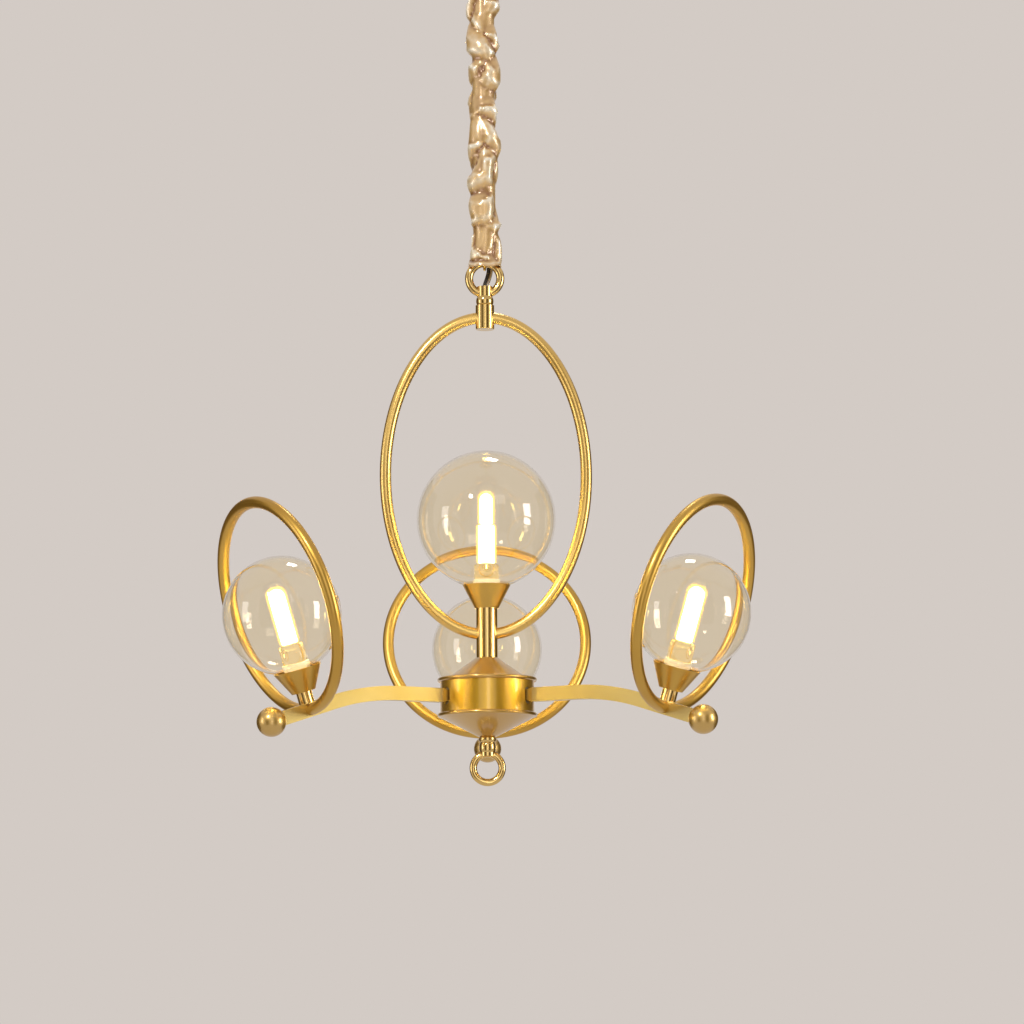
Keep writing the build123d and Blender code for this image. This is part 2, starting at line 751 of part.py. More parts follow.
def arm(direction):
    """A bent rectangular tube with a threaded nipple at the hub and a plug at the ball."""
    side = arm_side(direction)
    outward = side.x_dir
    across = side.z_dir
    slope = outward * along.X + UP * along.Y
    lamp_axis = outward * lamp_up.X + UP * lamp_up.Y
    foot = outward * lamp_foot.X + UP * (arm_z + lamp_foot.Y)
    tip = outward * arm_tip.X + UP * (arm_z + arm_tip.Y)
    square = Plane(origin=(0, 0, arm_z), x_dir=across, z_dir=outward)
    with BuildPart() as bar:
        with BuildLine(side) as bar_path:
            arm_line(bar_start, arm_tip)
        with BuildSketch(square.offset(bar_start)):
            Rectangle(arm_width, arm_height)
        sweep(path=bar_path.line)
        with BuildLine(side) as inner_path:
            arm_line(bar_start, arm_tip - along * arm_plug_length)
        with BuildSketch(square.offset(bar_start)):
            Rectangle(arm_width - 2 * arm_wall, arm_height - 2 * arm_wall)
        sweep(path=inner_path.line, mode=Mode.SUBTRACT)
        with BuildSketch(square.offset(taper_start)):
            Rectangle(arm_root_width, arm_root_height)
        with BuildSketch(square.offset(bar_start)):
            Rectangle(arm_width, arm_height)
        loft()
        with BuildSketch(square.offset(root_start)):
            Rectangle(arm_root_width, arm_root_height)
        extrude(amount=arm_root_length)
        with BuildSketch(square.offset(root_start)):
            Circle(nipple_radius)
        extrude(amount=-nipple_length)
        with BuildSketch(square.offset(root_start - nipple_length)):
            Circle(nipple_bore)
        extrude(amount=nipple_length + bar_start - root_start, mode=Mode.SUBTRACT)
        with BuildSketch(Plane(origin=foot, x_dir=across, z_dir=lamp_axis)):
            Circle(side_stem_peg_radius + slip_gap)
        extrude(amount=arm_height, mode=Mode.SUBTRACT)
        with BuildSketch(Plane(origin=tip, x_dir=across, z_dir=-slope)):
            Circle(ball_stud_radius + slip_gap)
        extrude(amount=ball_stud_length + slip_gap, mode=Mode.SUBTRACT)
    return bar.part


def ball(direction):
    """A ball with a flat against the arm's end and a stud into its plug."""
    side = arm_side(direction)
    slope = side.x_dir * along.X + UP * along.Y
    tip = side.x_dir * arm_tip.X + UP * (arm_z + arm_tip.Y)
    ball_plane = axis_plane(tip, side.z_dir, slope)
    flat_radius = math.hypot(arm_width, arm_height) / 2
    with BuildPart() as knob:
        with BuildSketch(ball_plane):
            with BuildLine():
                ThreePointArc((flat_radius, 0), (ball_radius, ball_flat), (0, ball_flat + ball_radius))
                Polyline(
                    (0, ball_flat + ball_radius),
                    (0, -ball_stud_length),
                    (ball_stud_radius, -ball_stud_length),
                    (ball_stud_radius, 0),
                    (flat_radius, 0),
                )
            make_face()
        revolve(axis=Axis(tip, slope))
    return knob.part


def side_ring(plane, slope):
    """A tube bent into a ring, with its two ends on the arm's sides."""
    middle = plane.origin + plane.y_dir * side_ring_radius
    section = Plane(origin=middle, x_dir=plane.y_dir, z_dir=plane.y_dir.cross(slope))
    with BuildPart() as ring:
        with BuildSketch(section):
            with Locations((side_ring_radius, 0)):
                Circle(tube_radius)
                Circle(tube_bore, mode=Mode.SUBTRACT)
        revolve(axis=Axis(middle, slope))
        with BuildSketch(Plane(origin=plane.origin, x_dir=plane.x_dir, z_dir=slope)):
            Rectangle(arm_width, 4 * tube_radius)
        extrude(amount=2 * tube_radius, both=True, mode=Mode.SUBTRACT)
    return ring.part


def side_stem(plane):
    """A short stem with a peg into the arm and a spigot for the lamp."""
    peg_height = arm_top_height - side_stem_peg_length
    return turned(
        plane,
        [
            (side_stem_bore, peg_height),
            (side_stem_peg_radius, peg_height),
            (side_stem_peg_radius, arm_top_height),
            (side_stem_radius, arm_top_height),
            (side_stem_radius, cup_foot_height),
            (spigot_radius, cup_foot_height),
            (spigot_radius, spigot_height),
            (side_stem_bore, spigot_height),
        ],
    )


cup_flare = (cup_top_radius - cup_foot_radius) / cup_height
cup_rim_inner_radius = cup_top_radius - cup_wall
cup_floor_radius = cup_foot_radius + cup_flare * cup_floor - cup_wall


def lamp_cup(plane):
    """A flared cup on the stem's spigot."""
    return turned(
        plane,
        [
            (spigot_radius + slip_gap, cup_foot_height),
            (cup_foot_radius, cup_foot_height),
            (cup_top_radius, cup_top_height),
            (cup_rim_inner_radius, cup_top_height),
            (cup_floor_radius, cup_floor_height),
            (spigot_radius + slip_gap, cup_floor_height),
        ],
    )


def lamp_socket(plane):
    """A ceramic lamp holder on the cup's floor, with a hole for each of the bulb's pins."""
    foot_top = cup_floor_height + socket_foot_height
    body = turned(
        plane,
        [
            (spigot_radius + slip_gap, cup_floor_height),
            (socket_foot_radius, cup_floor_height),
            (socket_foot_radius, foot_top),
            (socket_radius, foot_top),
            (socket_radius, socket_top_height),
            (0, socket_top_height),
            (0, spigot_height + slip_gap),
            (spigot_radius + slip_gap, spigot_height + slip_gap),
        ],
    )
    with BuildPart() as socket:
        add(body)
        with BuildSketch(level_plane(plane, socket_top_height)):
            with GridLocations(bulb_pin_spacing, 1, 2, 1):
                Circle(bulb_pin_radius + slip_gap)
        extrude(amount=-bulb_pin_length - slip_gap, mode=Mode.SUBTRACT)
    return socket.part


def lamp_bulb(plane, start, body, tip, tip_radius):
    """A two-pin bulb: a clear base, a lit tube and, on a long one, a narrower lit tip."""
    base_top = cup_top_height + start
    body_top = base_top + body
    bulb_top = body_top + tip
    with BuildPart() as bulb:
        with BuildSketch(plane):
            with BuildLine():
                if tip > 0:
                    groove_top = body_top + bulb_groove_width
                    dome_start = bulb_top - tip_radius
                    Polyline(
                        (bulb_radius, body_top),
                        (bulb_groove_radius, body_top),
                        (bulb_groove_radius, groove_top),
                        (tip_radius, groove_top),
                        (tip_radius, dome_start),
                    )
                else:
                    dome_start = bulb_top - tip_radius
                    Line((bulb_radius, base_top), (tip_radius, dome_start))
                RadiusArc((tip_radius, dome_start), (0, bulb_top), -tip_radius)
                Polyline(
                    (0, bulb_top),
                    (0, socket_top_height),
                    (bulb_base_radius, socket_top_height),
                    (bulb_base_radius, base_top),
                    (bulb_radius, base_top),
                )
                if tip > 0:
                    Line((bulb_radius, base_top), (bulb_radius, body_top))
            make_face()
        revolve(axis=Axis(plane.origin, plane.y_dir))
        with BuildSketch(level_plane(plane, socket_top_height)):
            with GridLocations(bulb_pin_spacing, 1, 2, 1):
                Circle(bulb_pin_radius)
        extrude(amount=-bulb_pin_length)
    return bulb.part


def lamp_globe(plane, radius):
    """A blown globe that stands on the cup's rim, with its neck round the socket."""
    inner = radius - globe_wall
    neck_bore = socket_radius + running_gap
    neck_radius = neck_bore + globe_wall
    seat = radius + running_gap
    middle = cup_top_height + math.sqrt(seat**2 - cup_rim_inner_radius**2)
    outer_neck = middle - math.sqrt(radius**2 - neck_radius**2)
    inner_neck = middle - math.sqrt(inner**2 - neck_bore**2)
    neck_foot = outer_neck - globe_neck_length
    with BuildPart() as globe:
        with BuildSketch(plane):
            with BuildLine():
                ThreePointArc((neck_radius, outer_neck), (radius, middle), (0, middle + radius))
                Line((0, middle + radius), (0, middle + inner))
                ThreePointArc((0, middle + inner), (inner, middle), (neck_bore, inner_neck))
                Polyline(
                    (neck_bore, inner_neck),
                    (neck_bore, neck_foot),
                    (neck_radius, neck_foot),
                    (neck_radius, outer_neck),
                )
            make_face()
        revolve(axis=Axis(plane.origin, plane.y_dir))
    return globe.part


def lamp(name, plane, globe_radius, start, body, tip, tip_radius):
    """The pieces of one lamp, on its own axis."""
    save(lamp_cup(plane), f"cup_{name}")
    save(lamp_socket(plane), f"socket_{name}")
    save(lamp_bulb(plane, start, body, tip, tip_radius), f"bulb_{name}")
    save(lamp_globe(plane, globe_radius), f"globe_{name}")


lamp(
    "centre",
    centre_plane,
    centre_globe_radius,
    centre_bulb_start,
    centre_bulb_body,
    centre_bulb_tip,
    centre_bulb_tip_radius,
)

# Arms with their balls, rings, stems and lamps
for name, direction in arm_directions.items():
    outward = X_DIR.rotate(Axis.Z, direction)
    slope = outward * along.X + UP * along.Y
    lamp_axis = outward * lamp_up.X + UP * lamp_up.Y
    foot = outward * lamp_foot.X + UP * (arm_z + lamp_foot.Y)
    plane = axis_plane(foot, UP.cross(outward), lamp_axis)
    save(arm(direction), f"arm_{name}")
    save(ball(direction), f"ball_{name}")
    save(side_ring(plane, slope), f"ring_{name}")
    save(side_stem(plane), f"stem_{name}")
    lamp(name, plane, side_globe_radius, side_bulb_start, side_bulb_body, 0, bulb_radius)

# Wires inside the tubes: the feed down the oval, one lead up the stem and one along each arm
lead_start_z = arm_z + rod_window_rise
feed_turn = math.degrees(math.asin((wire_bend_radius + wire_radius) / oval_half_width))
with BuildLine(Plane.XZ) as feed_oval:
    EllipticalCenterArc((0, oval_z), oval_half_width, oval_half_height, 90, arc_size=180 - feed_turn)
oval_end = feed_oval.line @ 1
oval_way = feed_oval.line % 1
turn_end = oval_end + Vector(1 + oval_way.Z, 0, -oval_way.X) * wire_bend_radius
with BuildLine() as feed:
    add(feed_oval.line)
    TangentArc(oval_end, turn_end, tangent=oval_way)
    Line(turn_end, Vector(turn_end.X, 0, lead_start_z))
with BuildLine() as centre_lead:
    Line((wire_radius, 0, lead_start_z), (wire_radius, 0, stem_top_z + spigot_length))
wires = [round_bar(feed.line, wire_radius), round_bar(centre_lead.line, wire_radius)]

bend_foot = lamp_foot - along * wire_bend_radius
bend_top = lamp_foot + lamp_up * wire_bend_radius
bend_centre = bend_foot + lamp_up * wire_bend_radius
bend_crest = bend_centre + (along - lamp_up).normalized() * wire_bend_radius
wire_top = lamp_foot + lamp_up * spigot_height
for direction in arm_directions.values():
    with BuildLine(arm_side(direction)) as arm_lead:
        arm_line(wire_start, bend_foot)
        ThreePointArc((bend_foot.X, bend_foot.Y), (bend_crest.X, bend_crest.Y), (bend_top.X, bend_top.Y))
        Line((bend_top.X, bend_top.Y), (wire_top.X, wire_top.Y))
    wires.append(round_bar(arm_lead.line, wire_radius))
save(group(wires), "inner_wires")
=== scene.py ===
import json
import math

import bmesh
import bpy
import numpy as np
from mathutils import Matrix, Vector


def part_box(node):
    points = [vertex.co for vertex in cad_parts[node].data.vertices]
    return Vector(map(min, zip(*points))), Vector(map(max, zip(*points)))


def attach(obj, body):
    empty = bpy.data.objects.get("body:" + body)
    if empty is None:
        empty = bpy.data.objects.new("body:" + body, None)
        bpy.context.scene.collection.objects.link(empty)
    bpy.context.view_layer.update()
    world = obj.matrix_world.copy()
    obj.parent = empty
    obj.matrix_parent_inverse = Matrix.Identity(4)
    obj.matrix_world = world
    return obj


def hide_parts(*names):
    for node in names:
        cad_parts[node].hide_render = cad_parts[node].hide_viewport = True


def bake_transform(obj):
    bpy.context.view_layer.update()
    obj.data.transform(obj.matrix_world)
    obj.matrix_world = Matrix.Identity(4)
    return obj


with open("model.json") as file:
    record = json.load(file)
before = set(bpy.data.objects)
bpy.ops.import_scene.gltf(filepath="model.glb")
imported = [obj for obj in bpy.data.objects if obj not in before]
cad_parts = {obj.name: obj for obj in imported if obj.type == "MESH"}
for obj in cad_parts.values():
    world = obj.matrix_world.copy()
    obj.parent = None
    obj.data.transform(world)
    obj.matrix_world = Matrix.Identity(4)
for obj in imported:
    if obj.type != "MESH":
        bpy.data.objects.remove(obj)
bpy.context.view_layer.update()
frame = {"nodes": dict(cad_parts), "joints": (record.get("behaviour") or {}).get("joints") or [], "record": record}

MM = 0.001
TINY = 1e-9
FULL_TURN = 2 * math.pi
scene = bpy.context.scene
nodes = frame["nodes"]
joints = {joint["name"]: joint for joint in frame["joints"]}
slot_of = {part["node"]: part["material_slot"] for part in frame["record"]["subparts"]}

# The hanging chain, from the ceiling down: each body swings from the one before it
LINK_COUNT = 7
CHAIN_BODIES = ["canopy"] + [f"link_{i}" for i in range(1, LINK_COUNT + 1)] + ["fixture"]
PIVOTS = [joints[f"{body}_swing"]["pos_m"][2] / MM for body in CHAIN_BODIES[1:]]

# Heights and radii about a lamp's own axis, in millimetres
CUP_FOOT = 15.8
CUP_TOP = 35.8
CUP_RIM_INNER = 19.15
SOCKET_TOP = 40.8
SOCKET_RADIUS = 11.6
RUNNING_GAP = 0.3
GLOBE_WALL = 1.6
GLOBE_NECK = 4.5
ARMS = ("left", "right", "back")
GLOBE_RADII = {"centre": 60.0, "left": 50.0, "right": 50.0, "back": 50.0}


def srgb(r, g, b):
    """A colour given as 0 to 255, as the linear RGBA that shaders take."""
    def linear(c):
        c /= 255
        return c / 12.92 if c <= 0.04045 else ((c + 0.055) / 1.055) ** 2.4
    return (linear(r), linear(g), linear(b), 1.0)


BACKGROUND = srgb(211, 203, 197)
# The point attribute that carries the satin's painted crease shade and painted ridge highlight.
FOLD_SHADE_LAYER = "fold_shade"


# Materials

def new_material(name):
    """A node material with a principled shader: the material, its nodes, links and shader."""
    material = bpy.data.materials.new(name)
    material.use_nodes = True
    tree = material.node_tree
    return material, tree.nodes, tree.links, tree.nodes["Principled BSDF"]


def set_inputs(node, values):
    """Sets several of a node's inputs by their names."""
    for name, value in values.items():
        node.inputs[name].default_value = value


def noise(tree_nodes, links, scale, detail=3.0, stretch=(1, 1, 1)):
    """A noise value on the object's own coordinates, which are those of the whole part."""
    coords = tree_nodes.new("ShaderNodeTexCoord")
    mapping = tree_nodes.new("ShaderNodeMapping")
    set_inputs(mapping, {"Scale": stretch})
    links.new(coords.outputs["Object"], mapping.inputs["Vector"])
    texture = tree_nodes.new("ShaderNodeTexNoise")
    set_inputs(texture, {"Scale": scale, "Detail": detail})
    links.new(mapping.outputs["Vector"], texture.inputs["Vector"])
    return texture.outputs["Fac"]


def tones(tree_nodes, links, source, dark, light):
    """A colour that runs from dark to light with a value."""
    ramp = tree_nodes.new("ShaderNodeValToRGB")
    first, last = ramp.color_ramp.elements
    first.position, first.color = 0.35, dark
    last.position, last.color = 0.65, light
    links.new(source, ramp.inputs["Fac"])
    return ramp.outputs["Color"]


def between(tree_nodes, links, source, low, high):
    """A noise value carried to the range from low to high."""
    spread = tree_nodes.new("ShaderNodeMapRange")
    set_inputs(spread, {"From Min": 0.3, "From Max": 0.7, "To Min": low, "To Max": high})
    links.new(source, spread.inputs["Value"])
    return spread.outputs["Result"]


def add_bump(tree_nodes, links, source, strength, depth, shader):
    """A bump on a shader, its depth in millimetres."""
    bump = tree_nodes.new("ShaderNodeBump")
    set_inputs(bump, {"Strength": strength, "Distance": depth * MM})
    links.new(source, bump.inputs["Height"])
    links.new(bump.outputs["Normal"], shader.inputs["Normal"])


def make_metal(name, dark, light, rough, grain, coat=0.0, coat_rough=0.12, stretch=(1, 1, 1)):
    """A plated metal: slow colour changes, an uneven gloss, a fine grain and a coat of lacquer."""
    material, n, links, shader = new_material(name)
    cloud = noise(n, links, scale=14.0, detail=2.0)
    links.new(tones(n, links, cloud, dark, light), shader.inputs["Base Color"])
    cloud = noise(n, links, scale=45.0, detail=2.0)
    gloss = between(n, links, cloud, low=rough - 0.015, high=rough + 0.015)
    links.new(gloss, shader.inputs["Roughness"])
    set_inputs(shader, {
        "Metallic": 1.0, "Coat Weight": coat, "Coat Roughness": coat_rough, "Coat IOR": 1.8,
    })
    fine = noise(n, links, scale=1800.0, detail=2.0, stretch=stretch)
    add_bump(n, links, fine, strength=grain, depth=0.05, shader=shader)
    return material


def make_clear(name, tints, roughness, ior, wave_scale, wave, glow=None):
    """A clear tinted piece with a faintly wavy surface, and a painted glow, standing in for light a lamp passes
    into it, if one is given.
    """
    material, n, links, shader = new_material(name)
    cloud = noise(n, links, scale=18.0, detail=1.0)
    links.new(tones(n, links, cloud, *tints), shader.inputs["Base Color"])
    set_inputs(shader, {"Roughness": roughness, "IOR": ior, "Transmission Weight": 1.0})
    if glow:
        colour, strength = glow
        set_inputs(shader, {"Emission Color": colour, "Emission Strength": strength})
    waves = noise(n, links, scale=wave_scale, detail=1.0)
    add_bump(n, links, waves, strength=wave, depth=0.5, shader=shader)
    return material


def make_lit(name, dim, bright, strength, alpha=1.0):
    """A glowing piece of a bulb, a little uneven where its emitters are."""
    material, n, links, shader = new_material(name)
    cloud = noise(n, links, scale=260.0, detail=2.0)
    links.new(tones(n, links, cloud, dim, bright), shader.inputs["Emission Color"])
    set_inputs(shader, {
        "Emission Strength": strength, "Base Color": (0.25, 0.15, 0.03, 1), "Roughness": 0.5,
        "Alpha": alpha,
    })
    return material


def make_moulded(name, dark, light, rough, grain):
    """A moulded plastic or glazed ceramic with a faint texture."""
    material, n, links, shader = new_material(name)
    cloud = noise(n, links, scale=60.0)
    links.new(tones(n, links, cloud, dark, light), shader.inputs["Base Color"])
    cloud = noise(n, links, scale=300.0, detail=2.0)
    gloss = between(n, links, cloud, low=rough - 0.06, high=rough + 0.06)
    links.new(gloss, shader.inputs["Roughness"])
    fine = noise(n, links, scale=1500.0, detail=2.0)
    add_bump(n, links, fine, strength=grain, depth=0.1, shader=shader)
    return material


def make_satin():
    """Champagne satin: a sheen over a fine weave, with painted shade in its creases and a painted highlight on its
    ridges.
    """
    material, n, links, shader = new_material("champagne_satin")
    fold_shade = n.new("ShaderNodeAttribute")
    fold_shade.attribute_name = FOLD_SHADE_LAYER
    cloud = between(n, links, noise(n, links, scale=70.0, detail=4.0), low=-0.08, high=0.08)
    depth = n.new("ShaderNodeMath")
    links.new(fold_shade.outputs["Fac"], depth.inputs[0])
    links.new(cloud, depth.inputs[1])
    # The colour runs from a painted shade, dark brown, in the creases to a painted highlight, near white, on the
    # ridges.
    ramp = n.new("ShaderNodeValToRGB")
    crease_shade, ridge_highlight = ramp.color_ramp.elements
    crease_shade.position, crease_shade.color = 0.25, srgb(148, 97, 40)
    ridge_highlight.position, ridge_highlight.color = 0.8, srgb(255, 244, 220)
    ramp.color_ramp.elements.new(0.52).color = srgb(220, 180, 116)
    links.new(depth.outputs[0], ramp.inputs["Fac"])
    links.new(ramp.outputs["Color"], shader.inputs["Base Color"])
    set_inputs(shader, {
        "Metallic": 0.25, "Roughness": 0.28, "Specular IOR Level": 1.0,
        "Sheen Weight": 0.2, "Sheen Roughness": 0.4, "Sheen Tint": (1.0, 0.93, 0.8, 1),
        "Coat Weight": 0.8, "Coat Roughness": 0.22, "Coat IOR": 1.7,
    })
    weave = noise(n, links, scale=1400.0, detail=2.0, stretch=(1, 1, 0.25))
    add_bump(n, links, weave, strength=0.2, depth=0.1, shader=shader)
    return material


GOLD_TONES = (srgb(201, 158, 68), srgb(213, 173, 84))
BRUSH_STRETCH = (0.06, 0.06, 1)
gold = make_metal("satin_gold", *GOLD_TONES, rough=0.36, grain=0.05, coat=0.2)
gold_pale = make_metal(
    "pale_gold", srgb(199, 170, 88), srgb(211, 186, 112), rough=0.36, grain=0.05, coat=0.5,
)
gold_soft = make_metal(
    "soft_gold", srgb(198, 160, 80), srgb(212, 177, 103), rough=0.36, grain=0.05, coat=0.6,
)
gold_lacquered = make_metal(
    "lacquered_gold", srgb(224, 183, 86), srgb(236, 197, 104),
    rough=0.27, grain=0.01, coat=0.8, coat_rough=0.24,
)
gold_bright = make_metal(
    "polished_gold", srgb(220, 184, 104), srgb(232, 198, 122), rough=0.14, grain=0.03, coat=0.6,
)
gold_brushed = make_metal(
    "brushed_gold", *GOLD_TONES, rough=0.33, grain=0.2, coat=1.0, stretch=BRUSH_STRETCH,
)
# A brighter, yellower copy of the brushed gold for the drum: painted light from the bulbs beside it.
gold_drum_painted_light = make_metal(
    "brushed_drum_gold_painted_light", srgb(226, 180, 60), srgb(238, 194, 76),
    rough=0.33, grain=0.2, coat=0.8, stretch=BRUSH_STRETCH,
)
steel = make_metal("zinc_steel", srgb(150, 150, 150), srgb(175, 175, 172), rough=0.32, grain=0.3)
core_silver = make_metal(
    "tinned_core", srgb(200, 198, 192), srgb(222, 220, 214), rough=0.3, grain=0.3,
)
glass = make_clear(
    "champagne_glass", ((0.975, 0.926, 0.81, 1), (0.985, 0.941, 0.835, 1)),
    roughness=0.0, ior=1.48, wave_scale=25.0, wave=0.05,
)
# The clear base's faint emission is a painted glow: light from the lit column passing into the clear plastic.
clear_base = make_clear(
    "clear_base", ((0.98, 0.86, 0.58, 1), (1, 0.93, 0.74, 1)),
    roughness=0.03, ior=1.46, wave_scale=160.0, wave=0.5, glow=((1, 0.68, 0.2, 1), 0.1),
)
lit = make_lit("lit_column", (1.0, 0.82, 0.26, 1), (1.0, 0.88, 0.34, 1), strength=64.0)
glow = make_lit(
    "glowing_sheath", (1.0, 0.66, 0.2, 1), (1.0, 0.74, 0.28, 1), strength=1.5, alpha=0.45,
)
haze = make_lit(
    "glowing_haze", (1.0, 0.58, 0.14, 1), (1.0, 0.66, 0.2, 1), strength=0.95, alpha=0.25,
)
ceramic = make_moulded(
    "glazed_ceramic", srgb(226, 218, 200), srgb(240, 234, 220), rough=0.22, grain=0.1,
)
plastic = make_moulded(
    "moulded_plastic", srgb(216, 214, 208), srgb(230, 228, 222), rough=0.45, grain=0.3,
)
insulation = make_moulded(
    "wire_insulation", srgb(70, 60, 52), srgb(92, 80, 70), rough=0.5, grain=0.2,
)
core_dark = make_moulded("dark_core", srgb(44, 42, 40), srgb(64, 60, 57), rough=0.35, grain=0.2)
satin = make_satin()

SLOT_MATERIALS = {
    "gold": gold, "steel": steel, "glass": glass, "bulb": lit, "ceramic": ceramic,
    "satin": satin, "cable": core_dark, "wire": insulation, "plastic": plastic,
}

# Nodes whose gold differs from that of their slot
NODE_FINISHES = [
    (gold_pale, [f"arm_{arm}" for arm in ARMS]),
    (gold_soft, [f"ball_{arm}" for arm in ARMS]),
    (gold_lacquered, ["oval_left", "oval_right"]),
    (gold_brushed, ["hub_top_cover", "hub_bottom_cover"]),
    # The drum takes the copy of brushed gold with painted light.
    (gold_drum_painted_light, ["hub_drum"]),
    (gold_bright, ["top_loop", "bottom_loop", "top_coupling", "centre_stem", "canopy_loop"]),
    (gold_bright, [f"stem_{arm}" for arm in ARMS]),
]
finish_of = {node: finish for finish, finish_nodes in NODE_FINISHES for node in finish_nodes}
for name, obj in nodes.items():
    obj.data.materials.clear()
    obj.data.materials.append(finish_of.get(name, SLOT_MATERIALS[slot_of[name]]))


# Mesh pieces

def add_mesh(name, vertices, faces, material):
    """A smooth-shaded mesh object from points in millimetres."""
    mesh = bpy.data.meshes.new(name)
    mesh.from_pydata([tuple(c * MM for c in v) for v in vertices], [], faces)
    mesh.validate()
    mesh.shade_smooth()
    mesh.materials.append(material)
    obj = bpy.data.objects.new(name, mesh)
    scene.collection.objects.link(obj)
    return obj


def face_outward(obj):
    """Turns every face of a closed mesh outward."""
    shell = bmesh.new()
    shell.from_mesh(obj.data)
    bmesh.ops.recalc_face_normals(shell, faces=shell.faces)
    shell.to_mesh(obj.data)
    shell.free()


def lamp_frame(lamp):
    """A lamp's foot, axis and two square directions, in millimetres."""
    joint = joints[f"globe_{lamp}_turn"]
    up = Vector(joint["axis"]).normalized()
    foot = Vector(joint["pos_m"]) / MM
    if lamp == "centre":
        foot -= up * CUP_FOOT
    across = up.orthogonal().normalized()
    return foot, up, across, up.cross(across)


def lathe(name, profile, lamp, material, segments):
    """A solid turned on a lamp's axis from radii and heights; a radius of 0 is a pole."""
    foot, up, across, deep = lamp_frame(lamp)
    vertices, rings = [], []
    for radius, height in profile:
        middle = foot + up * height
        turns = segments if radius else 1
        rings.append([len(vertices) + i for i in range(turns)])
        for i in range(turns):
            angle = FULL_TURN * i / turns
            out = across * math.cos(angle) + deep * math.sin(angle)
            vertices.append(middle + out * radius)
    faces = []
    for low, high in zip(rings, rings[1:]):
        for i in range(segments):
            j = (i + 1) % segments
            ends = [(low, i), (high, i), (high, j), (low, j)]
            corners = [ring[turn % len(ring)] for ring, turn in ends]
            faces.append(tuple(dict.fromkeys(corners)))
    obj = add_mesh(name, vertices, faces, material)
    face_outward(obj)
    return obj


def profile_arc(middle, radius, first, last, count):
    """Points of a profile's arc about a height on the axis, by degrees above the level."""
    angles = [math.radians(first + (last - first) * i / count) for i in range(count + 1)]
    points = [(radius * math.cos(a), middle + radius * math.sin(a)) for a in angles]
    pole = 1e-6
    return [(r if r > pole else 0, h) for r, h in points]


# Blown glass globes, each free to turn in its cup

GLOBE_SEGMENTS = 160
GLOBE_STEPS = 72
LIP = GLOBE_WALL / 4
NECK_BORE = SOCKET_RADIUS + RUNNING_GAP
NECK_RADIUS = NECK_BORE + GLOBE_WALL
for lamp, radius in GLOBE_RADII.items():
    inner = radius - GLOBE_WALL
    middle = CUP_TOP + math.sqrt((radius + RUNNING_GAP) ** 2 - CUP_RIM_INNER ** 2)
    neck_foot = middle - math.sqrt(radius ** 2 - NECK_RADIUS ** 2) - GLOBE_NECK
    outer_end = -math.degrees(math.acos(NECK_RADIUS / radius))
    inner_end = -math.degrees(math.acos(NECK_BORE / inner))
    profile = profile_arc(middle, radius, 90, outer_end, GLOBE_STEPS)
    profile += [(NECK_RADIUS, neck_foot + LIP), (NECK_RADIUS - LIP, neck_foot)]
    profile += [(NECK_BORE + LIP, neck_foot), (NECK_BORE, neck_foot + LIP)]
    profile += profile_arc(middle, inner, inner_end, 90, GLOBE_STEPS)
    globe = lathe(f"blown_globe_{lamp}", profile, lamp, glass, GLOBE_SEGMENTS)
    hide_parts(f"globe_{lamp}")
    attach(globe, f"globe_{lamp}")
    globe.visible_shadow = False

# Bulbs: a clear moulded base, a lit column, for the centre a lit tip, and two thin glowing sheaths round each, a
# painted halo of the lamp's light

BASE_RADIUS = 10.6
COLUMN_RADIUS = 6.9
TIP_RADIUS = 5.5
TIP_GAP = 2.0
BULB_EDGE = 0.6
BULB_SEGMENTS = 96
DOME_STEPS = 16
# Gaps and finishes of the two glowing sheaths, a painted halo round each lit column.
SHEATHS = ((1.1, glow), (2.1, haze))
BULB_HEIGHTS = {lamp: {"base": 22.0, "column": 47.0, "tip": 0.0} for lamp in GLOBE_RADII}
BULB_HEIGHTS["centre"] = {"base": 19.0, "column": 33.0, "tip": 28.0}


def base_profile(foot, top):
    """The profile of a bulb's base, which narrows to its column at the top."""
    return [
        (0, foot), (BASE_RADIUS - BULB_EDGE, foot), (BASE_RADIUS, foot + BULB_EDGE),
        (BASE_RADIUS, top - 2 * BULB_EDGE), (COLUMN_RADIUS, top), (0, top),
    ]


def column_profile(radius, foot, top, flat_top):
    """The profile of an upright column with a flat or a domed top."""
    profile = [(0, foot), (radius - BULB_EDGE, foot), (radius, foot + BULB_EDGE)]
    if flat_top:
        return profile + [(radius, top - BULB_EDGE), (radius - BULB_EDGE, top), (0, top)]
    return profile + profile_arc(top - radius, radius, 0, 90, DOME_STEPS)


def sheath_profile(column, shoulder, gap, lift):
    """A column's side and top, moved out by a gap, and up by a lift above its shoulder."""
    side = column[2:]
    return [(r + gap if r else 0, h + (lift if h > shoulder else 0)) for r, h in side]


